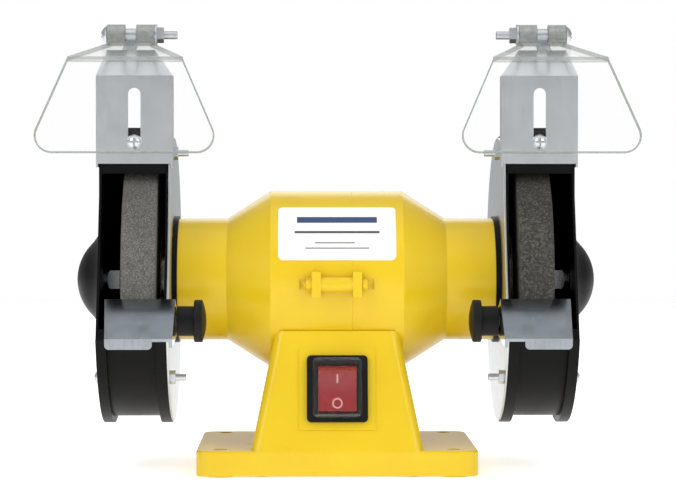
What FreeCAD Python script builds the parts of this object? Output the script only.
"""Bench grinder with two 150 mm wheels, made as separate pieces in millimetres.

X runs along the spindle, -Y is the operator's side and Z points up. The origin is the centre
of the four bench holes, at the height of the surface that the rubber feet stand on.

Every way that it moves:
  rotor          turns freely about the spindle with the wheels, flanges and nuts
  shield bracket slides down each guard's front tab, along its slot, until it nears the wheel
  eye shield     tilts up about the hinge bolt at the top of its bracket
  rest bolt      slides out and in along the slot of each rest arm, with the rest and the knob
  tool rest      tilts about the rest bolt
  rest knob      turns about the rest bolt to clamp it
  rocker         rocks in the switch frame between off and on
"""
import FreeCAD
import Part
import math
import os

V = FreeCAD.Vector
AXIS_X = V(1, 0, 0)
AXIS_Y = V(0, 1, 0)
AXIS_Z = V(0, 0, 1)

# --- driving dimensions -------------------------------------------------------------------
motor_lift = 60.0          # underside of the motor above the bench
sheet_gap = 0.3            # between sheet parts that slide past each other
run_fit = 0.03             # radial clearance of a turning fit
bolt_fit = 0.2             # radial clearance of a bolt in its hole
overcut = 1.0              # how far a cutting tool runs past the face it opens

wheel_r = 75.0
wheel_w = 20.0
wheel_x = 104.5            # inner face of each wheel
blotter_t = 0.5
blotter_r = 27.0
flange_r = 24.0
flange_t = 4.0
nut_t = 8.0
nut_af = 19.0
shaft_end_r = 6.35
shaft_end_past_nut = 4.0
shaft_r = 8.5
shaft_core_r = 10.0

housing_r = 53.0
housing_wall = 4.0
barrel_half = 39.0         # half length of the full-width barrel
cone_end = 65.0
neck_r = 36.5
neck_end = 94.0
seam_x = 9.0
wire_hole_r = 6.0
wire_hole_x = -20.0

bearing_r = 20.0
bearing_w = 12.0
bearing_x = 76.0           # inner face of each bearing
washer_t = 1.0
seal_hole_r = 14.0

stator_half = 20.0
stator_bore_r = 28.0
slot_count = 12
slot_depth = 11.0
slot_w = 7.0
air_gap = 0.5
coil_reach = 13.0

lug_t = 5.4
lug_h = 15.0
lug_reach = 7.5            # how far the lugs stand out of the barrel
lug_drop = 1.5             # lug centre below the spindle
left_lug_x = -9.6
clamp_bolt_r = 2.0
clamp_nut_af = 7.0
clamp_nut_t = 3.2

label_w = 69.0
label_h = 37.0
label_t = 0.3
label_angle = 34.0
label_corner = 3.0

foot_w = 164.0
foot_d = 128.0
foot_h = 15.5
foot_corner = 8.0
rim_z = 0.8                # lower edge of the casting above the bench
base_wall = 4.0
column_half_low = 50.0     # half width of the column at the foot's top
column_half_high = 36.0
column_front_high = 46.0
column_top_drop = 29.0     # top of the column below the spindle
column_corner = 6.0
saddle_wall = 4.0
bench_hole_x = 68.0
bench_hole_y = 54.0
bench_hole_r = 4.0
bench_boss_r = 8.0
saddle_screw_y = 22.0
saddle_screw_r = 2.5
saddle_screw_head_t = 3.5
plate_t = 1.2
plate_z = 2.0
plate_clear = 0.5
plate_screw_x = 58.0
plate_screw_y = 38.0
plate_screw_r = 1.75
rubber_r = 8.0
rubber_stem_r = 3.0
rubber_x = 44.0
rubber_y = 50.0

switch_z = 50.5
bezel_w = 35.4
bezel_h = 39.2
bezel_t = 2.5
switch_body_w = 27.0
switch_body_h = 33.0
switch_depth = 19.0
rocker_w = 22.4
rocker_r = 14.2
rocker_pivot_depth = 2.0
rocker_half_throw = 12.0
rocker_valley = 5.5        # from the pivot out to the middle of the rocker's face
rocker_pin_r = 1.5
cover_wall = 0.8
cover_rise = 7.5
gland_z = 32.0
gland_r = 7.0
gland_flange_r = 10.0
cord_hole_r = 3.6

capacitor_r = 14.0
capacitor_l = 58.0
capacitor_y = 14.0
capacitor_z = 22.0

spacer_r = 38.0
spacer_t = 3.0
inner_plate_t = 1.2
guard_wall = 1.5
guard_gap = 5.5            # wheel rim to the inside of the guard
guard_w = 38.8             # body of the guard along the spindle
guard_lip_r = 4.0          # how far the lips stand out of the rim
guard_lip_w = 6.0
guard_hole_r = 25.5
cover_t = 1.5
dome_r = 42.0
dome_h = 17.0
opening_top_back = 31.7    # guard's front face above the bend, behind the rim's front
opening_bend_drop = 32.0   # bend below the rim's top
opening_low_back = 4.0
opening_low_drop = 32.0    # lower end of the opening below the spindle
tab_w = 36.0
tab_overlap = 1.3          # how far the front tab runs down past the rim's outside
tab_rise = 7.5             # front tab above the top of the guard's rim
cross_screw_r = 2.0
cross_screw_angles = (105.5, 225.0, 350.0)   # from the back, over the top
cross_head_r = 4.0
cross_head_t = 2.6
cross_nut_t = 3.2
cross_nut_af = 7.0
cross_stub = 6.0
mount_screw_circle_r = 30.5
mount_screw_r = 2.2
mount_head_r = 4.0
mount_head_t = 2.6
mount_screw_l = 16.0

bracket_t = 1.2
bracket_drop = 13.4        # lower edge of the bracket's plate below the rim's top
bracket_plate_rise = 37.8
bracket_side_d = 13.0
bracket_side_drop = 2.0
bracket_top_rise = 53.5
bracket_top_back = 13.3    # from the opening's front edge back to the bracket's top
bracket_top_half = 14.0
slide_slot_w = 7.2
slide_screw_drop = 0.7
slide_slot_rise = 30.6
slide_screw_r = 2.5
slide_head_r = 4.5
slide_head_t = 3.0
hinge_rise = 62.2
hinge_shift = 3.0          # hinge outboard of the guard's middle
hinge_back = 14.3
hinge_bolt_r = 2.5
barrel_r = 4.0
hinge_barrel_w = 6.0
knuckle_r = 6.3
knuckle_w = 10.5
shield_t = 2.5
shield_flap_reach = 51.0   # from the hinge forward to the bend
shield_flap_drop = 16.7
shield_bend_w = 65.6
shield_pane_lean = 8.0
shield_pane_h = 53.5
shield_foot_w = 112.0
shield_corner = 10.0

arm_t = 2.0
arm_h = 10.0
arm_past_bolt = 14.5
arm_behind_bolt = 36.0
arm_screw_back = (18.0, 29.5)   # behind the rest bolt
arm_screw_r = 2.0
rest_gap = 5.0             # wheel to the back edge of the rest
rest_bolt_back = 10.0      # rest bolt behind and below the rest's back edge
rest_bolt_below = 13.0
rest_bolt_r = 3.0
rest_bolt_head_t = 1.6
rest_bolt_head_r = 6.0
rest_in = 2.0              # travel of the rest bolt towards the wheel
rest_out = 8.0
rest_t = 2.0
rest_edge_drop = 9.0       # back edge of the rest below the spindle
rest_run = 34.0
rest_fall = 20.9
rest_past_wheel = 8.5
rest_taper = 2.4           # how far the rest's outer edge closes in at the front
rest_lip_w = 26.5
rest_lip_h = 6.0
knob_body_r = 8.6
knob_body_l = 10.0
knob_flange_r = 12.2
knob_flange_t = 5.0
knob_dome_h = 2.0

# --- sizes that follow from them ----------------------------------------------------------
spindle_z = motor_lift + housing_r
guard_in = neck_end + spacer_t + inner_plate_t
guard_out = guard_in + guard_w
cover_out = guard_out + cover_t
plate_in = neck_end + spacer_t
guard_mid = (plate_in + cover_out) / 2
guard_half = (cover_out - plate_in) / 2
hinge_mid = guard_mid + hinge_shift
guard_r = wheel_r + guard_gap + guard_wall
wheel_out = wheel_x + wheel_w
flange_in = wheel_x - blotter_t - flange_t
flange_out = wheel_out + blotter_t + flange_t
shaft_end_x = flange_out + nut_t + shaft_end_past_nut
screw_circle_r = (wheel_r + guard_r - guard_wall) / 2 + 0.45
clamp_y = housing_r + 3.0
clamp_z = spindle_z - lug_drop
column_front_low = foot_d / 2
column_top = spindle_z - column_top_drop
guard_top = spindle_z + guard_r
opening_y_top = guard_r - opening_top_back
opening_y_low = guard_r - opening_low_back
opening_z_bend = guard_r - opening_bend_drop
opening_z_low = -opening_low_drop
tab_top = guard_top + tab_rise
bracket_bottom = guard_top - bracket_drop
bracket_plate_top = guard_top + bracket_plate_rise
bracket_top_z = guard_top + bracket_top_rise
bracket_top_y = -opening_y_top + bracket_top_back
slide_screw_z = guard_top - slide_screw_drop
slide_slot_top = guard_top + slide_slot_rise
hinge_z = guard_top + hinge_rise
hinge_y = -opening_y_top + hinge_back
shield_bend_y = hinge_y - shield_flap_reach
shield_bend_z = hinge_z - shield_flap_drop
shield_foot_y = shield_bend_y - shield_pane_lean
shield_foot_z = shield_bend_z - shield_pane_h
rest_back_y = -wheel_r - rest_gap
rest_back_z = spindle_z - rest_edge_drop
rest_front_y = rest_back_y - rest_run
rest_front_z = rest_back_z - rest_fall
rest_bolt_y = rest_back_y + rest_bolt_back
rest_bolt_z = rest_back_z - rest_bolt_below
rest_outer_x = wheel_out + rest_past_wheel
arm_front_y = rest_bolt_y - arm_past_bolt
arm_back_y = rest_bolt_y + arm_behind_bolt
arm_screw_ys = [rest_bolt_y + back for back in arm_screw_back]


# --- helpers ------------------------------------------------------------------------------
def box(x0, x1, y0, y1, z0, z1):
    return Part.makeBox(x1 - x0, y1 - y0, z1 - z0, V(x0, y0, z0))


def rod_x(r, x0, x1, y=0.0, z=spindle_z):
    return Part.makeCylinder(r, x1 - x0, V(x0, y, z), AXIS_X)


def rod_y(r, y0, y1, x, z):
    return Part.makeCylinder(r, y1 - y0, V(x, y0, z), AXIS_Y)


def rod_z(r, z0, z1, x, y):
    return Part.makeCylinder(r, z1 - z0, V(x, y, z0), AXIS_Z)


def ring_x(r_out, r_in, x0, x1, y=0.0, z=spindle_z):
    return rod_x(r_out, x0, x1, y, z).cut(rod_x(r_in, x0 - overcut, x1 + overcut, y, z))


def face_of(points):
    return Part.Face(Part.makePolygon(points + [points[0]]))


def spun(face):
    """A face turned once about the spindle, with its surface facing outward."""
    solid = face.revolve(V(0, 0, spindle_z), AXIS_X, 360)
    return solid.reversed() if solid.Volume < 0 else solid


def turned(profile):
    """A body of revolution about the spindle from (x, radius) corners."""
    return spun(face_of([V(x, 0, spindle_z + r) for x, r in profile]))


def prism_x(points, x0, x1):
    """(y, z) corners pushed from x0 to x1."""
    return face_of([V(x0, y, z) for y, z in points]).extrude(V(x1 - x0, 0, 0))


def prism_y(points, y0, y1):
    """(x, z) corners pushed from y0 to y1."""
    return face_of([V(x, y0, z) for x, z in points]).extrude(V(0, y1 - y0, 0))


def hexagon_x(across_flats, x0, x1, y, z):
    r = across_flats / 2 / math.cos(math.radians(30))
    angles = [math.radians(60 * i + 30) for i in range(6)]
    return prism_x([(y + r * math.cos(a), z + r * math.sin(a)) for a in angles], x0, x1)


def domed(base, r, h, direction):
    """A spherical cap of radius r and height h standing on base."""
    ball_r = (r * r + h * h) / (2 * h)
    ball = Part.makeSphere(ball_r, base - direction * (ball_r - h))
    return ball.common(Part.makeCylinder(r, h + overcut, base, direction))


def fused(shapes):
    body = shapes[0]
    for shape in shapes[1:]:
        body = body.fuse(shape)
    return body.removeSplitter()


def cut_all(body, tools):
    for tool in tools:
        body = body.cut(tool)
    return body


def mirrored(shape):
    """The same piece at the other end of the spindle."""
    return shape.mirror(V(0, 0, 0), AXIS_X)


def edges_along(shape, direction, test=lambda middle: True):
    """Straight edges parallel to a direction whose middle passes a test."""
    found = []
    for edge in shape.Edges:
        if edge.Curve.TypeId != "Part::GeomLine":
            continue
        run = edge.valueAt(edge.LastParameter) - edge.valueAt(edge.FirstParameter)
        if run.Length < 1e-6 or abs(abs(run.normalize().dot(direction)) - 1) > 1e-3:
            continue
        if test(edge.CenterOfMass):
            found.append(edge)
    return found


# --- motor --------------------------------------------------------------------------------
def housing_outline():
    barrel = [(0, 0), (0, housing_r), (barrel_half, housing_r), (cone_end, neck_r)]
    return turned(barrel + [(neck_end, neck_r), (neck_end, 0)])


def housing_cavity(pocket_end):
    inner = housing_r - housing_wall
    neck = neck_r - housing_wall
    points = [(0, 0), (0, inner), (barrel_half - 1, inner), (cone_end, neck), (bearing_x, neck)]
    points += [(bearing_x, bearing_r), (pocket_end, bearing_r), (pocket_end, seal_hole_r)]
    return turned(points + [(neck_end + overcut, seal_hole_r), (neck_end + overcut, 0)])


def housing_half(side, pocket_end):
    """One cast shell: side is 1 for the right half and -1 for the left half."""
    body = housing_outline()
    hollow = housing_cavity(pocket_end)
    if side < 0:
        body = mirrored(body)
        hollow = mirrored(hollow)
        fill = turned([(0, 0), (0, housing_r), (seam_x, housing_r), (seam_x, 0)])
        hollow_fill = rod_x(housing_r - housing_wall, -overcut, seam_x + overcut)
        body = body.fuse(fill)
        hollow = hollow.fuse(hollow_fill)
    else:
        body = body.cut(rod_x(housing_r + overcut, -overcut, seam_x))
    return body.cut(hollow)


def lug(x0, x1, front):
    y_in = housing_r - housing_wall / 2
    y0, y1 = sorted((front * y_in, front * (housing_r + lug_reach)))
    plate = box(x0, x1, y0, y1, clamp_z - lug_h / 2, clamp_z + lug_h / 2)
    return plate.cut(rod_x(housing_r - housing_wall / 2, x0 - overcut, x1 + overcut))


def clamp_pocket(x0, x1, front):
    return rod_x(clamp_nut_af / 2 / math.cos(math.pi / 6) + 0.4, x0, x1, front * clamp_y, clamp_z)


def mount_hole_places():
    angles = [math.radians(a) for a in (90, 210, 330)]
    r = mount_screw_circle_r
    return [(r * math.cos(a), spindle_z + r * math.sin(a)) for a in angles]


def left_housing():
    body = housing_half(-1, bearing_x + bearing_w)
    parts = [body]
    for front in (-1, 1):
        parts.append(lug(left_lug_x - lug_t, left_lug_x, front))
        parts.append(rod_x(clamp_bolt_r + 2.4, left_lug_x, seam_x, front * clamp_y, clamp_z))
    body = fused(parts)
    tools = [rod_z(wire_hole_r, spindle_z - housing_r - overcut, spindle_z - 20, wire_hole_x, 0)]
    tools.append(rod_x(housing_r - housing_wall, -barrel_half + 1, seam_x + overcut))
    for front in (-1, 1):
        x0 = left_lug_x - lug_t
        tools.append(rod_x(clamp_bolt_r + bolt_fit, x0 - 9, seam_x + overcut, front * clamp_y, clamp_z))
        tools.append(clamp_pocket(x0 - 7, x0, front))
    for y, z in mount_hole_places():
        tools.append(rod_x(mount_screw_r, -neck_end - overcut, -neck_end + mount_screw_l, y, z))
    for y in (-saddle_screw_y, saddle_screw_y):
        tools.append(saddle_screw_hole(y))
    return cut_all(body, tools)


def right_housing():
    parts = [housing_half(1, bearing_x + bearing_w + washer_t)]
    for front in (-1, 1):
        parts.append(lug(seam_x, seam_x + lug_t, front))
    body = fused(parts)
    tools = []
    for front in (-1, 1):
        x1 = seam_x + lug_t
        tools.append(rod_x(clamp_bolt_r + bolt_fit, seam_x - overcut, x1 + 9, front * clamp_y, clamp_z))
        tools.append(clamp_pocket(x1, x1 + 7, front))
    for y, z in mount_hole_places():
        tools.append(rod_x(mount_screw_r, neck_end - mount_screw_l, neck_end + overcut, y, z))
    return cut_all(body, tools)


def clamp_bolts():
    """Two bolts, each with its head against the right lug."""
    bolts = []
    for front in (-1, 1):
        x0 = left_lug_x - lug_t - clamp_nut_t - 1.5
        x1 = seam_x + lug_t
        shank = rod_x(clamp_bolt_r, x0, x1 + 0.5, front * clamp_y, clamp_z)
        head = rod_x(clamp_nut_af / 2, x1, x1 + clamp_nut_t, front * clamp_y, clamp_z)
        socket = hexagon_x(3.0, x1 + 1.4, x1 + clamp_nut_t + overcut, front * clamp_y, clamp_z)
        bolts.append(shank.fuse(head).removeSplitter().cut(socket))
    return Part.makeCompound(bolts)


def clamp_nuts():
    x1 = left_lug_x - lug_t
    nuts = []
    for front in (-1, 1):
        nut = hexagon_x(clamp_nut_af, x1 - clamp_nut_t, x1, front * clamp_y, clamp_z)
        bore = rod_x(clamp_bolt_r + run_fit, x1 - 9, x1 + overcut, front * clamp_y, clamp_z)
        nuts.append(nut.cut(bore))
    return Part.makeCompound(nuts)


def rating_label():
    shell = ring_x(housing_r + label_t, housing_r, -label_w / 2, label_w / 2)
    block = box(-label_w / 2, label_w / 2, -90, -30, -label_h / 2, label_h / 2)
    block = block.makeFillet(label_corner, edges_along(block, AXIS_Y))
    block.rotate(V(0, 0, 0), AXIS_X, -label_angle)
    block.translate(V(0, 0, spindle_z))
    return shell.common(block)


def stator_core():
    core = ring_x(housing_r - housing_wall - run_fit, stator_bore_r, -stator_half, stator_half)
    slots = []
    for i in range(slot_count):
        slot = box(-stator_half - overcut, stator_half + overcut, -slot_w / 2, slot_w / 2,
                   spindle_z + stator_bore_r - overcut, spindle_z + stator_bore_r + slot_depth)
        slot.rotate(V(0, 0, spindle_z), AXIS_X, 360 * i / slot_count)
        slots.append(slot)
    return cut_all(core, slots)


def stator_windings():
    """Copper in the slots, joined by the end turns at both ends."""
    low = stator_bore_r + 2.0
    high = stator_bore_r + slot_depth - 0.5
    parts = []
    for side in (-1, 1):
        x0, x1 = sorted((side * (stator_half + 0.5), side * (stator_half + coil_reach)))
        parts.append(ring_x(high + 3.0, low, x0, x1))
    for i in range(slot_count):
        bar = box(-stator_half - 1, stator_half + 1, -slot_w / 2 + 0.5, slot_w / 2 - 0.5,
                  spindle_z + low, spindle_z + high)
        bar.rotate(V(0, 0, spindle_z), AXIS_X, 360 * i / slot_count)
        parts.append(bar)
    return fused(parts)


def rotor_core():
    r = stator_bore_r - air_gap
    end = stator_half + 6
    half = [(0, shaft_core_r), (0, r), (stator_half, r), (stator_half, r - 3), (end, r - 3)]
    half += [(end, r - 10), (stator_half + 2, r - 10), (stator_half + 2, shaft_core_r)]
    body = turned(half)
    return body.fuse(mirrored(body)).removeSplitter()


def shaft():
    core_end = stator_half + coil_reach
    half = [(0, 0), (0, shaft_core_r), (core_end, shaft_core_r), (core_end, shaft_r)]
    half += [(flange_in, shaft_r), (flange_in, shaft_end_r)]
    half += [(shaft_end_x - 1, shaft_end_r), (shaft_end_x, shaft_end_r - 1), (shaft_end_x, 0)]
    body = turned(half)
    return body.fuse(mirrored(body)).removeSplitter()


def bearing():
    """Right bearing: both rings and the shields between them."""
    x0, x1, dish = bearing_x, bearing_x + bearing_w, 0.8
    bore = shaft_r + run_fit
    profile = [(x0, bore), (x0, bore + 4), (x0 + dish, bore + 4), (x0 + dish, bearing_r - 4)]
    profile += [(x0, bearing_r - 4), (x0, bearing_r), (x1, bearing_r), (x1, bearing_r - 4)]
    profile += [(x1 - dish, bearing_r - 4), (x1 - dish, bore + 4), (x1, bore + 4), (x1, bore)]
    return turned(profile)


def wave_washer():
    x0 = bearing_x + bearing_w
    return ring_x(bearing_r - 0.3, bearing_r - 4, x0, x0 + washer_t)


# --- base ---------------------------------------------------------------------------------
def column_slope():
    return (column_front_low - column_front_high) / (column_top - foot_h)


def column_front(z):
    return column_front_low - column_slope() * (z - foot_h)


def column_half(z):
    lean = (column_half_low - column_half_high) / (column_top - foot_h)
    return column_half_low - lean * (z - foot_h)


def rectangle(half_x, half_y, z):
    corners = [(-half_x, -half_y), (half_x, -half_y), (half_x, half_y), (-half_x, half_y)]
    points = [V(x, y, z) for x, y in corners]
    return Part.makePolygon(points + [points[0]])


def column_block(z0, z1, inset):
    low = rectangle(column_half(z0) - inset, column_front(z0) - inset, z0)
    high = rectangle(column_half(z1) - inset, column_front(z1) - inset, z1)
    return Part.makeLoft([low, high], True, True)


def saddle_shape(extra):
    """The motor's outside, grown by extra, that the column's top is hollowed to."""
    r = housing_r + extra
    half = [(0, 0), (0, r), (barrel_half, r), (cone_end + extra, neck_r + extra)]
    half = turned(half + [(neck_end, neck_r + extra), (neck_end, 0)])
    return half.fuse(mirrored(half))


def saddle_screw_hole(y):
    z = spindle_z - housing_r
    return rod_z(saddle_screw_r + bolt_fit, z - 3 * saddle_wall, z + 3 * saddle_wall, 0, y)


def front_wall_place(shape, z, rear=False):
    """Stands a shape made with +Z up and -Y outward on the leaning front or rear wall."""
    placed = shape.copy()
    placed.rotate(V(0, 0, 0), AXIS_X, -math.degrees(math.atan(column_slope())))
    placed.translate(V(0, -column_front(z), z))
    if rear:
        placed.rotate(V(0, 0, 0), AXIS_Z, 180)
    return placed


def centred(w, h, y0, y1):
    return box(-w / 2, w / 2, y0, y1, -h / 2, h / 2)


def foot_block(inset, z0, z1):
    w, d = foot_w / 2 - inset, foot_d / 2 - inset
    block = box(-w, w, -d, d, z0, z1)
    return block.makeFillet(foot_corner - inset, edges_along(block, AXIS_Z))


def corners_of(x, y):
    return [(sx * x, sy * y) for sx in (-1, 1) for sy in (-1, 1)]


def base_pedestal():
    foot = foot_block(0, rim_z, foot_h)
    top_edges = [e for e in foot.Edges if e.BoundBox.ZMin > foot_h - 0.01]
    foot = foot.makeFillet(1.5, top_edges)
    column = column_block(foot_h - 6, column_top, 0)
    slanted = [e for e in column.Edges if e.BoundBox.ZLength > 10]
    column = column.makeFillet(column_corner, slanted)
    body = foot.fuse(column)
    pad = centred(bezel_w + 9, bezel_h + 9, -0.8, 3)
    body = body.fuse(front_wall_place(pad, switch_z))
    cavity = foot_block(base_wall, rim_z - overcut, foot_h - base_wall)
    cavity = cavity.fuse(column_block(foot_h - 6, column_top + overcut, base_wall))
    cavity = cavity.cut(saddle_shape(saddle_wall))
    body = body.cut(cavity).cut(saddle_shape(0))
    bosses = []
    for x, y in corners_of(bench_hole_x, bench_hole_y):
        bosses.append(rod_z(bench_boss_r, 0, foot_h - 1.6, x, y))
    for x, y in corners_of(plate_screw_x, plate_screw_y):
        bosses.append(rod_z(plate_screw_r + 2.5, plate_z + plate_t, foot_h - 1, x, y))
    body = body.fuse(fused(bosses)).removeSplitter()
    body = body.common(foot_block(0, 0, column_top + overcut))
    tools = [front_wall_place(centred(switch_body_w + 0.4, switch_body_h + 0.4, -5, 12), switch_z)]
    tools.append(front_wall_place(rod_y(gland_r + bolt_fit, -5, 12, 0, 0), gland_z, rear=True))
    tools.append(rod_z(wire_hole_r, spindle_z - housing_r - 9, spindle_z - 20, wire_hole_x, 0))
    for x, y in corners_of(bench_hole_x, bench_hole_y):
        tools.append(rod_z(bench_hole_r, -overcut, foot_h + overcut, x, y))
    for x, y in corners_of(plate_screw_x, plate_screw_y):
        tools.append(rod_z(plate_screw_r, -overcut, foot_h - base_wall + 1, x, y))
    for y in (-saddle_screw_y, saddle_screw_y):
        tools.append(saddle_screw_hole(y))
    return cut_all(body, tools)


def saddle_screws():
    """Two screws up through the saddle into the motor shell."""
    screws = []
    head_r = saddle_screw_r + 2
    for y in (-saddle_screw_y, saddle_screw_y):
        seat = spindle_z - math.sqrt((housing_r + saddle_wall) ** 2 - (abs(y) - head_r) ** 2)
        inner = housing_r - housing_wall
        top = spindle_z - math.sqrt(inner ** 2 - (abs(y) - saddle_screw_r) ** 2) - sheet_gap
        shank = rod_z(saddle_screw_r, seat - 1, top, 0, y)
        head = rod_z(head_r, seat - saddle_screw_head_t, seat, 0, y)
        screws.append(shank.fuse(head).removeSplitter())
    return Part.makeCompound(screws)


def base_plate():
    plate = foot_block(base_wall + plate_clear, plate_z, plate_z + plate_t)
    tools = []
    for x, y in corners_of(bench_hole_x, bench_hole_y):
        tools.append(rod_z(bench_boss_r + plate_clear, 0, 9, x, y))
    for x, y in corners_of(plate_screw_x, plate_screw_y):
        tools.append(rod_z(plate_screw_r + bolt_fit, 0, 9, x, y))
    for x, y in corners_of(rubber_x, rubber_y):
        tools.append(rod_z(rubber_stem_r, 0, 9, x, y))
    return cut_all(plate, tools)


def base_plate_screws():
    screws = []
    for x, y in corners_of(plate_screw_x, plate_screw_y):
        head = rod_z(3.2, plate_z - 1.1, plate_z, x, y)
        shank = rod_z(plate_screw_r, plate_z - 0.5, foot_h - base_wall, x, y)
        screws.append(head.fuse(shank).removeSplitter())
    return Part.makeCompound(screws)


def rubber_feet():
    feet = []
    for x, y in corners_of(rubber_x, rubber_y):
        pad = rod_z(rubber_r, 0, plate_z, x, y)
        stem = rod_z(rubber_stem_r, plate_z - 1, plate_z + plate_t, x, y)
        lip = rod_z(rubber_stem_r + 1, plate_z + plate_t, plate_z + plate_t + 1.5, x, y)
        feet.append(pad.fuse(stem).fuse(lip).removeSplitter())
    return Part.makeCompound(feet)


def cable_gland():
    flange = rod_y(gland_flange_r, -4, 0, 0, 0)
    neck = rod_y(gland_r, -1, base_wall + 3, 0, 0)
    nose = Part.makeCone(gland_flange_r - 2, cord_hole_r + 2.5, 9, V(0, -3, 0), V(0, -1, 0))
    body = flange.fuse(neck).fuse(nose).removeSplitter()
    body = body.cut(rod_y(cord_hole_r, -20, 20, 0, 0))
    return front_wall_place(body, gland_z, rear=True)


def capacitor():
    can = rod_x(capacitor_r, -capacitor_l / 2, capacitor_l / 2, capacitor_y, capacitor_z)
    x = capacitor_l / 2
    tag = box(x, x + 5, capacitor_y - 3, capacitor_y + 3, capacitor_z - 0.4, capacitor_z + 0.4)
    return can.fuse(tag).removeSplitter()


def capacitor_clip():
    """A strap round the can that stands on the base plate."""
    strap = ring_x(capacitor_r + 1.2, capacitor_r, -8, 8, capacitor_y, capacitor_z)
    floor_z = plate_z + plate_t
    leg = box(-8, 8, capacitor_y - 6, capacitor_y + 6, floor_z, capacitor_z - capacitor_r)
    leg = leg.cut(rod_x(capacitor_r, -9, 9, capacitor_y, capacitor_z))
    return strap.fuse(leg).removeSplitter()


# --- switch -------------------------------------------------------------------------------
def switch_frame():
    face = centred(bezel_w, bezel_h, -0.8 - bezel_t, -0.8)
    face = face.makeFillet(2.5, edges_along(face, AXIS_Y))
    body = face.fuse(centred(switch_body_w, switch_body_h, -0.9, switch_depth)).removeSplitter()
    well = centred(rocker_w + 0.8, 2 * rocker_r + 0.8, -9, rocker_pivot_depth + rocker_r + 0.4)
    pins = rod_x(rocker_pin_r + 0.1, -switch_body_w / 2 + 0.6, switch_body_w / 2 - 0.6,
                 rocker_pivot_depth, 0)
    return front_wall_place(cut_all(body, [well, pins]), switch_z)


def switch_rocker():
    """The rocker at off: its lower end is pressed in."""
    drum = rod_x(rocker_r, -rocker_w / 2, rocker_w / 2, 0, 0)
    slope = math.tan(math.radians(rocker_half_throw))
    rim = rocker_r + overcut
    outline = [(-rocker_valley, 0), (-rocker_valley - rim * slope, rim), (7, rim), (7, -rim)]
    outline.append((-rocker_valley - rim * slope, -rim))
    body = drum.common(prism_x(outline, -rocker_w, rocker_w))
    body = body.fuse(rod_x(rocker_pin_r, -rocker_w / 2 - 1.2, rocker_w / 2 + 1.2, 0, 0))
    body = body.removeSplitter()
    body.rotate(V(0, 0, 0), AXIS_X, rocker_half_throw)
    body.translate(V(0, rocker_pivot_depth, 0))
    return front_wall_place(body, switch_z)


def switch_dust_cover():
    w = rocker_w + 6
    h = 2 * rocker_r + 6
    y0 = -0.8 - bezel_t
    shell = centred(w, h, y0 - cover_rise, y0)
    shell = shell.makeFillet(3, edges_along(shell, AXIS_Y))
    rim = [e for e in shell.Edges if e.BoundBox.YMax < y0 - cover_rise + 0.01]
    shell = shell.makeFillet(2, rim)
    hollow = centred(w - 2 * cover_wall, h - 2 * cover_wall, y0 - cover_rise + cover_wall, y0 + 1)
    return front_wall_place(shell.cut(hollow), switch_z)


# --- wheels (right end) -------------------------------------------------------------------
def wheel():
    edge = 0.8
    x0, x1 = wheel_x, wheel_out
    bore = shaft_end_r + run_fit
    profile = [(x0, bore), (x0, wheel_r - edge), (x0 + edge, wheel_r), (x1 - edge, wheel_r)]
    return turned(profile + [(x1, wheel_r - edge), (x1, bore)])


def wheel_blotters():
    bore = shaft_end_r + run_fit
    inner = ring_x(blotter_r, bore, wheel_x - blotter_t, wheel_x)
    outer = ring_x(blotter_r, bore, wheel_out, wheel_out + blotter_t)
    return [inner, outer]


def wheel_flanges():
    """Dished steel discs that grip the wheel at their rims."""
    bore = shaft_end_r + run_fit
    x0 = flange_in
    x1 = wheel_x - blotter_t
    profile = [(x0, bore), (x0, flange_r - 6), (x0 + 1.5, flange_r), (x1, flange_r)]
    profile += [(x1, flange_r - 7), (x1 - 1, flange_r - 8), (x1 - 1, bore)]
    inner = turned(profile)
    outer = inner.mirror(V((wheel_x + wheel_out) / 2, 0, 0), AXIS_X)
    return [inner, outer]


def wheel_nut():
    nut = hexagon_x(nut_af, flange_out, flange_out + nut_t, 0, spindle_z)
    x1 = flange_out + nut_t
    corner_r = nut_af / 2 / math.cos(math.pi / 6)
    profile = [(flange_out, 0), (flange_out, corner_r), (x1 - 1.5, corner_r), (x1, nut_af / 2), (x1, 0)]
    chamfer = turned(profile)
    return nut.common(chamfer).cut(rod_x(shaft_end_r + run_fit, flange_out - 1, x1 + 1))


# --- guard (right end) --------------------------------------------------------------------
def opening_tool():
    """The space in front of the guard's opening, across its whole width."""
    far = -3 * guard_r
    yz = [(-opening_y_top, 3 * guard_r), (-opening_y_top, opening_z_bend)]
    yz += [(-opening_y_low, opening_z_low), (far, opening_z_low), (far, 3 * guard_r)]
    return prism_x([(y, spindle_z + z) for y, z in yz], 0, 2 * cover_out)


def cross_screw_places():
    angles = [math.radians(a) for a in cross_screw_angles]
    r = screw_circle_r
    return [(r * math.cos(a), spindle_z + r * math.sin(a)) for a in angles]


def bolt_head_notch():
    """Clears the rest bolt's head over its travel, at the front of the guard's inner side."""
    half = rest_bolt_head_r + 1
    return box(plate_in - 1, guard_in + guard_wall + 1, -opening_y_low - 9, rest_bolt_y + rest_in + half,
               rest_bolt_z - half, rest_bolt_z + half)


def arm_screw_holes():
    x0, x1 = plate_in - 9, guard_in + 9
    return [rod_x(arm_screw_r + bolt_fit, x0, x1, y, rest_bolt_z) for y in arm_screw_ys]


def mount_holes(x0, x1):
    return [rod_x(mount_screw_r + bolt_fit, x0, x1, y, z) for y, z in mount_hole_places()]


def cross_holes():
    x0, x1 = plate_in - 5, cover_out + 5
    return [rod_x(cross_screw_r + bolt_fit, x0, x1, y, z) for y, z in cross_screw_places()]


def guard_spacer():
    ring = ring_x(spacer_r, seal_hole_r + 2, neck_end, plate_in)
    return cut_all(ring, mount_holes(neck_end - 1, plate_in + 1))


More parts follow.
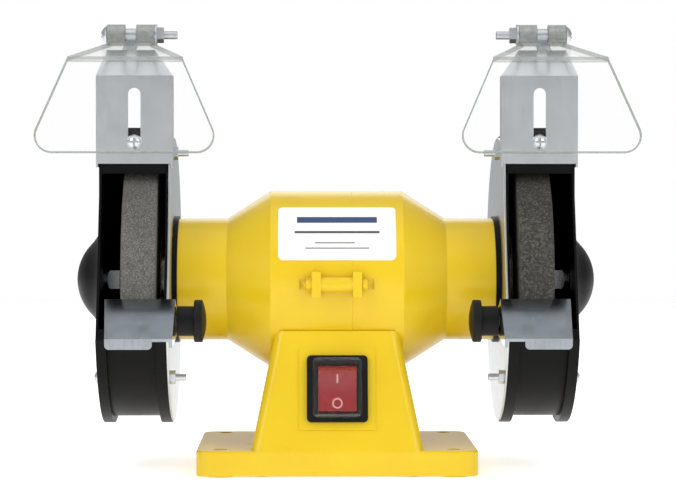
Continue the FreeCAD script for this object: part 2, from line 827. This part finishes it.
def guard_inner_plate():
    plate = ring_x(guard_r + guard_lip_r - 1, guard_hole_r, plate_in, guard_in)
    tools = [opening_tool(), bolt_head_notch()] + mount_holes(plate_in - 1, guard_in + 1)
    return cut_all(plate, tools + cross_holes() + arm_screw_holes())


def guard_body():
    """Rim and inner wall in one, with the inner lip and the front tab."""
    wall = ring_x(guard_r, guard_hole_r, guard_in, guard_in + guard_wall)
    rim = ring_x(guard_r, guard_r - guard_wall, guard_in, guard_out)
    lip = ring_x(guard_r + guard_lip_r, guard_r - guard_wall, guard_in, guard_in + guard_lip_w)
    body = fused([wall, rim, lip])
    body = body.cut(opening_tool())
    foot_z = spindle_z + math.sqrt(guard_r ** 2 - opening_y_top ** 2) - tab_overlap
    mid = (guard_in + guard_out) / 2
    tab_front = -opening_y_top - guard_wall
    tab = box(mid - tab_w / 2, mid + tab_w / 2, tab_front, -opening_y_top, foot_z, tab_top)
    tab = tab.makeFillet(4, edges_along(tab, AXIS_Y, lambda m: m.z > tab_top - 9 and abs(m.x - mid) > 9))
    body = body.fuse(tab).removeSplitter()
    tools = mount_holes(guard_in - 1, guard_in + 3) + cross_holes() + arm_screw_holes()
    tools.append(rod_y(slide_screw_r + bolt_fit, tab_front - 1, tab_front + 9, guard_mid, slide_screw_z))
    tools.append(bolt_head_notch())
    return cut_all(body, tools)


def bell(offset):
    """Solid bell on the cover: two equal arcs that meet halfway up, moved inward by offset."""
    foot_r = dome_r - offset
    foot_x = cover_out - offset
    arc_r = (dome_h ** 2 + foot_r ** 2) / (4 * dome_h)
    turn = math.asin(foot_r / 2 / arc_r)

    def low(angle):
        return V(foot_x + arc_r * (1 - math.cos(angle)), 0, spindle_z + foot_r - arc_r * math.sin(angle))

    def high(angle):
        return V(foot_x + dome_h - arc_r * (1 - math.cos(angle)), 0, spindle_z + arc_r * math.sin(angle))

    edges = [Part.Arc(low(0), low(turn / 2), low(turn)).toShape()]
    edges.append(Part.Arc(low(turn), high(turn / 2), high(0)).toShape())
    back = guard_out - cover_t
    corners = [high(0), V(back, 0, spindle_z), V(back, 0, spindle_z + foot_r), low(0)]
    edges += [Part.makeLine(a, b) for a, b in zip(corners, corners[1:])]
    return spun(Part.Face(Part.Wire(edges)))


def guard_cover():
    """Outer side of the guard: a disc with a domed boss, and a skirt over the rim."""
    r_out = guard_r + guard_lip_r
    skirt = ring_x(r_out, guard_r + run_fit, cover_out - guard_lip_w, cover_out)
    disc = rod_x(r_out, guard_out, cover_out)
    body = disc.cut(rod_x(dome_r - cover_t, guard_out - 1, cover_out + 1)).fuse(skirt)
    cup = bell(0).cut(bell(cover_t)).cut(rod_x(dome_r + 1, guard_out - 2 * cover_t, guard_out))
    body = body.fuse(cup).removeSplitter()
    body = cut_all(body, [opening_tool()] + cross_holes())
    return body


def cross_screws():
    screws = []
    for y, z in cross_screw_places():
        shank = rod_x(cross_screw_r, plate_in - cross_nut_t - cross_stub, cover_out + 0.5, y, z)
        head = domed(V(cover_out, y, z), cross_head_r, cross_head_t, AXIS_X)
        cross = box(cover_out + 1.4, cover_out + 5, y - 0.4, y + 0.4, z - 2, z + 2)
        other = box(cover_out + 1.4, cover_out + 5, y - 2, y + 2, z - 0.4, z + 0.4)
        screws.append(cut_all(shank.fuse(head).removeSplitter(), [cross, other]))
    return screws


def cross_nuts():
    nuts = []
    for y, z in cross_screw_places():
        nut = hexagon_x(cross_nut_af, plate_in - cross_nut_t, plate_in, y, z)
        bore = rod_x(cross_screw_r + run_fit, plate_in - 9, plate_in + 1, y, z)
        nuts.append(nut.cut(bore))
    return nuts


def guard_mount_screws():
    seat = guard_in + guard_wall
    screws = []
    for y, z in mount_hole_places():
        shank = rod_x(mount_screw_r, neck_end - mount_screw_l + 2, seat + 0.5, y, z)
        head = rod_x(mount_head_r, seat, seat + mount_head_t, y, z)
        socket = hexagon_x(2.5, seat + 1, seat + 9, y, z)
        screws.append(shank.fuse(head).removeSplitter().cut(socket))
    return screws


# --- spark shield bracket and eye shield (right end) --------------------------------------
def shield_bracket():
    """Zinc-plated channel over the guard's front, gathered up to a rolled hinge barrel."""
    half = guard_half + sheet_gap + bracket_t
    inner = half - bracket_t
    front = -(opening_y_top + guard_wall + sheet_gap + bracket_t)
    back = front + bracket_side_d
    low = bracket_bottom - bracket_side_drop
    mid = guard_mid
    channel = box(mid - half, mid + half, front, back, low, bracket_plate_top)
    hollow = box(mid - inner, mid + inner, front + bracket_t, back + 1, low - 1, bracket_plate_top + 1)
    notch = box(mid - inner, mid + inner, front - 1, back, low - 1, bracket_bottom)
    channel = channel.cut(hollow).cut(notch)

    def frame_at(z, width, y0, y1, x=mid):
        points = [V(x - width, y0, z), V(x + width, y0, z), V(x + width, y1, z), V(x - width, y1, z)]
        return Part.makePolygon(points + [points[0]])

    top_y = bracket_top_y
    low_frame = frame_at(bracket_plate_top, half, front, back)
    high_frame = frame_at(bracket_top_z, bracket_top_half, top_y, top_y + bracket_t, hinge_mid)
    outer = Part.makeLoft([low_frame, high_frame], True, True)
    lean = (top_y - front) / (bracket_top_z - bracket_plate_top)
    z1 = bracket_top_z + 2
    inside = Part.makeLoft([frame_at(bracket_plate_top - 0.01, inner, front + bracket_t, back + 2),
                            frame_at(z1, bracket_top_half - bracket_t - 1, top_y + bracket_t + 2 * lean,
                                     top_y + bracket_t + 2 * lean + 9, hinge_mid)], True, True)
    hood = outer.cut(inside)
    w = hinge_barrel_w / 2
    barrel = rod_x(barrel_r, hinge_mid - w, hinge_mid + w, hinge_y, hinge_z)
    tongue = prism_x([(top_y - 0.6, bracket_top_z - 2.5), (top_y + bracket_t, bracket_top_z - 1.4),
                      (hinge_y + barrel_r, hinge_z), (hinge_y + barrel_r - bracket_t - 0.6, hinge_z)],
                     hinge_mid - w, hinge_mid + w)
    body = fused([channel, hood, tongue, barrel])
    slot = box(mid - slide_slot_w / 2, mid + slide_slot_w / 2, front - 1, front + bracket_t + 1,
               slide_screw_z, slide_slot_top - slide_slot_w / 2)
    tools = [slot, rod_x(hinge_bolt_r + run_fit, mid - 30, mid + 30, hinge_y, hinge_z)]
    for z in (slide_screw_z, slide_slot_top - slide_slot_w / 2):
        tools.append(rod_y(slide_slot_w / 2, front - 1, front + bracket_t + 1, mid, z))
    return cut_all(body, tools)


def slide_screw():
    """Pan screw through the slot and the guard's tab, with its nut behind the tab."""
    front = -(opening_y_top + guard_wall + sheet_gap + bracket_t) - 0.1
    shank = rod_y(slide_screw_r, front - 0.5, -opening_y_top + 5, guard_mid, slide_screw_z)
    head = domed(V(guard_mid, front, slide_screw_z), slide_head_r, slide_head_t, V(0, -1, 0))
    y0 = front - slide_head_t - 1
    z = slide_screw_z
    slit = box(guard_mid - 0.5, guard_mid + 0.5, y0, front - 1.6, z - 2.4, z + 2.4)
    slat = box(guard_mid - 2.4, guard_mid + 2.4, y0, front - 1.6, z - 0.5, z + 0.5)
    screw = cut_all(shank.fuse(head).removeSplitter(), [slit, slat])
    nut = hexagon_x(8.0, 0, 3.5, 0, 0)
    nut.rotate(V(0, 0, 0), AXIS_Z, 90)
    nut.translate(V(guard_mid, -opening_y_top, slide_screw_z))
    bore = rod_y(slide_screw_r + run_fit, front, -opening_y_top + 9, guard_mid, slide_screw_z)
    nut = nut.cut(bore)
    return [screw, nut]


def leaning_plate(y0, z0, w0, y1, z1, w1, t):
    """A flat sheet centred on the hinge: width w0 along one edge and w1 along the other."""
    run = V(0, y1 - y0, z1 - z0)
    normal = run.cross(AXIS_X).normalize() * t
    mid = hinge_mid
    points = [V(mid - w0 / 2, y0, z0), V(mid + w0 / 2, y0, z0)]
    points += [V(mid + w1 / 2, y1, z1), V(mid - w1 / 2, y1, z1)]
    return face_of([p - normal / 2 for p in points]).extrude(normal)


def eye_shield():
    """Clear sheet: two knuckles, a flap forward over the bracket and a pane in front."""
    reach = 2 * knuckle_w + hinge_barrel_w + 2 * sheet_gap
    start_z = hinge_z - knuckle_r + shield_t / 2 + 0.2
    washer_reach = (knuckle_r + 1.2) / (hinge_y - shield_bend_y)
    start_w = (reach - shield_bend_w * washer_reach) / (1 - washer_reach)
    flap = leaning_plate(hinge_y, start_z, start_w, shield_bend_y, shield_bend_z, shield_bend_w, shield_t)
    pane = leaning_plate(shield_bend_y, shield_bend_z, shield_bend_w, shield_foot_y, shield_foot_z,
                         shield_foot_w, shield_t)
    half = shield_foot_w / 2
    low_corners = [e for e in pane.Edges if e.BoundBox.ZMax < shield_foot_z + 2
                   and e.BoundBox.XLength < 1 and abs(e.CenterOfMass.x - hinge_mid) > half - 1]
    pane = pane.makeFillet(shield_corner, low_corners)
    bend = rod_x(shield_t / 2, hinge_mid - shield_bend_w / 2, hinge_mid + shield_bend_w / 2,
                 shield_bend_y, shield_bend_z)
    inner = hinge_barrel_w / 2 + sheet_gap
    knuckles = []
    for side in (-1, 1):
        x0, x1 = sorted((hinge_mid + side * inner, hinge_mid + side * (inner + knuckle_w)))
        knuckles.append(rod_x(knuckle_r, x0, x1, hinge_y, hinge_z))
    body = fused([flap, pane, bend] + knuckles)
    gap = box(hinge_mid - inner, hinge_mid + inner, hinge_y - 14, hinge_y + 14, hinge_z - 14, hinge_z + 14)
    bore = rod_x(hinge_bolt_r + run_fit, hinge_mid - 30, hinge_mid + 30, hinge_y, hinge_z)
    return body.cut(gap).cut(bore)


def hinge_bolt():
    """Bolt with a domed head on the outer side; washer and nut on the inner side."""
    reach = hinge_barrel_w / 2 + knuckle_w + 2 * sheet_gap
    outer = hinge_mid + reach
    inner = hinge_mid - reach
    shank = rod_x(hinge_bolt_r, inner - 13, outer + 0.5, hinge_y, hinge_z)
    head = domed(V(outer, hinge_y, hinge_z), 5.6, 3.4, AXIS_X)
    cross = box(outer + 1.8, outer + 6, hinge_y - 3, hinge_y + 3, hinge_z - 0.5, hinge_z + 0.5)
    slit = box(outer + 1.8, outer + 6, hinge_y - 0.5, hinge_y + 0.5, hinge_z - 3, hinge_z + 3)
    bolt = cut_all(shank.fuse(head).removeSplitter(), [cross, slit])
    bore = hinge_bolt_r + run_fit
    washer = ring_x(6.5, bore, inner - 1.2, inner, hinge_y, hinge_z)
    nut = hexagon_x(8.0, inner - 5.2, inner - 1.2, hinge_y, hinge_z)
    nut = nut.cut(rod_x(bore, inner - 9, inner, hinge_y, hinge_z))
    return [bolt, washer, nut]


# --- tool rest (right end) ----------------------------------------------------------------
arm_out = plate_in
arm_in = arm_out - arm_t
rest_flange_out = arm_in - sheet_gap
rest_flange_in = rest_flange_out - rest_t


def rest_arm():
    """Slotted flat bar against the inner plate, for the rest bolt to slide along."""
    bar = box(arm_in, arm_out, arm_front_y, arm_back_y, rest_bolt_z - arm_h / 2, rest_bolt_z + arm_h / 2)
    bar = bar.makeFillet(arm_h / 2 - 0.1, edges_along(bar, AXIS_X, lambda m: m.y < arm_front_y + 1))
    bar = bar.makeFillet(3, edges_along(bar, AXIS_X, lambda m: m.y > arm_back_y - 1))
    slot_r = rest_bolt_r + bolt_fit
    y0 = rest_bolt_y - rest_out
    y1 = rest_bolt_y + rest_in
    tools = [box(arm_in - 1, arm_out + 1, y0, y1, rest_bolt_z - slot_r, rest_bolt_z + slot_r)]
    for y in (y0, y1):
        tools.append(rod_x(slot_r, arm_in - 1, arm_out + 1, y, rest_bolt_z))
    return cut_all(bar, tools + arm_screw_holes())


def rest_arm_screws():
    screws = []
    for y in arm_screw_ys:
        shank = rod_x(arm_screw_r, arm_in - 0.5, guard_in + guard_wall + 3.6, y, rest_bolt_z)
        head = domed(V(arm_in, y, rest_bolt_z), 3.6, 2.2, V(-1, 0, 0))
        nut = hexagon_x(7.0, guard_in + guard_wall, guard_in + guard_wall + 3.0, y, rest_bolt_z)
        nut = nut.cut(rod_x(arm_screw_r + run_fit, arm_in, guard_out, y, rest_bolt_z))
        screws += [shank.fuse(head).removeSplitter(), nut]
    return screws


def rest_bolt():
    end = rest_flange_in - knob_body_l - knob_flange_t + 2
    shank = rod_x(rest_bolt_r, end, arm_out + 0.5, rest_bolt_y, rest_bolt_z)
    seat = arm_out + sheet_gap
    head = rod_x(rest_bolt_head_r, seat, seat + rest_bolt_head_t, rest_bolt_y, rest_bolt_z)
    return shank.fuse(head).removeSplitter()


def rest_knob():
    x1 = rest_flange_in - sheet_gap
    x0 = x1 - knob_body_l
    body = rod_x(knob_body_r, x0, x1, rest_bolt_y, rest_bolt_z)
    flange = rod_x(knob_flange_r, x0 - knob_flange_t, x0, rest_bolt_y, rest_bolt_z)
    ends = [e for e in flange.Edges if e.BoundBox.XLength < 1e-6]
    flange = flange.makeFillet(0.8, ends)
    cap_base = V(x0 - knob_flange_t, rest_bolt_y, rest_bolt_z)
    cap = domed(cap_base, knob_flange_r - 1, knob_dome_h, V(-1, 0, 0))
    knob = fused([body, flange, cap])
    bore_end = rest_flange_in - knob_body_l - knob_flange_t + 1.5
    return knob.cut(rod_x(rest_bolt_r + run_fit, bore_end, x1 + 1, rest_bolt_y, rest_bolt_z))


def tool_rest():
    """Sheet face in front of the wheel, with a lip and a side flange down to the bolt."""
    run = V(0, rest_front_y - rest_back_y, rest_front_z - rest_back_z)
    down = AXIS_X.cross(run).normalize() * rest_t
    if down.z > 0:
        down = down * -1
    x0, x1 = rest_flange_in, rest_outer_x
    points = [V(x0, rest_back_y, rest_back_z), V(x1, rest_back_y, rest_back_z)]
    points += [V(x1 - rest_taper, rest_front_y, rest_front_z), V(x0, rest_front_y, rest_front_z)]
    face = face_of(points).extrude(down)
    x1 = x1 - rest_taper
    lip_back = rest_front_y + rest_t
    lip = box(x1 - rest_lip_w, x1, rest_front_y, lip_back, rest_front_z - rest_lip_h, rest_front_z)
    lip = lip.makeFillet(2.5, edges_along(lip, AXIS_Y, lambda m: m.z < rest_front_z - 3))
    eye = rod_x(9.0, x0, x0 + rest_t, rest_bolt_y, rest_bolt_z)
    outline = [(rest_back_y, rest_back_z), (rest_front_y, rest_front_z)]
    outline.append((rest_front_y + 2, rest_front_z - 5))
    outline += [(rest_bolt_y, rest_bolt_z - 9), (rest_bolt_y + 3, rest_bolt_z + 8)]
    flange = prism_x(outline, x0, x0 + rest_t)
    body = fused([face, lip, flange, eye])
    return body.cut(rod_x(rest_bolt_r + run_fit, x0 - 1, x0 + rest_t + 1, rest_bolt_y, rest_bolt_z))


# --- every node ---------------------------------------------------------------------------
def both_ends(solids):
    return Part.makeCompound(solids + [mirrored(s) for s in solids])


def nodes():
    made = {
        "housing_left": left_housing(),
        "housing_right": right_housing(),
        "housing_bolts": clamp_bolts(),
        "housing_nuts": clamp_nuts(),
        "rating_label": rating_label(),
        "stator_core": stator_core(),
        "stator_windings": stator_windings(),
        "rotor_core": rotor_core(),
        "shaft": shaft(),
        "wave_washer": wave_washer(),
        "base_pedestal": base_pedestal(),
        "saddle_screws": saddle_screws(),
        "base_plate": base_plate(),
        "base_plate_screws": base_plate_screws(),
        "rubber_feet": rubber_feet(),
        "cable_gland": cable_gland(),
        "capacitor": capacitor(),
        "capacitor_clip": capacitor_clip(),
        "switch_frame": switch_frame(),
        "switch_rocker": switch_rocker(),
        "switch_dust_cover": switch_dust_cover(),
        "wheel_flanges": both_ends(wheel_flanges()),
        "wheel_blotters": both_ends(wheel_blotters()),
        "guard_screws": both_ends(cross_screws()),
        "guard_nuts": both_ends(cross_nuts()),
        "guard_mount_screws": both_ends(guard_mount_screws()),
        "shield_slide_screws": both_ends(slide_screw()),
        "rest_arm_screws": both_ends(rest_arm_screws()),
    }
    pairs = {
        "bearing": bearing(),
        "wheel": wheel(),
        "wheel_nut": wheel_nut(),
        "guard_spacer": guard_spacer(),
        "guard_inner_plate": guard_inner_plate(),
        "guard_body": guard_body(),
        "guard_cover": guard_cover(),
        "shield_bracket": shield_bracket(),
        "eye_shield": eye_shield(),
        "shield_hinge_bolt": Part.makeCompound(hinge_bolt()),
        "rest_arm": rest_arm(),
        "rest_bolt": rest_bolt(),
        "tool_rest": tool_rest(),
        "rest_knob": rest_knob(),
    }
    for name, shape in pairs.items():
        made[name + "_right"] = shape
        made[name + "_left"] = mirrored(shape)
    return made


os.makedirs("parts", exist_ok=True)
for node_name, node_shape in nodes().items():
    if not node_shape.isValid():
        print("not valid:", node_name)
    print(f"{node_name}: {len(node_shape.Solids)} solids, {node_shape.Volume:.0f} mm3")
    node_shape.exportStep(f"parts/{node_name}.step")
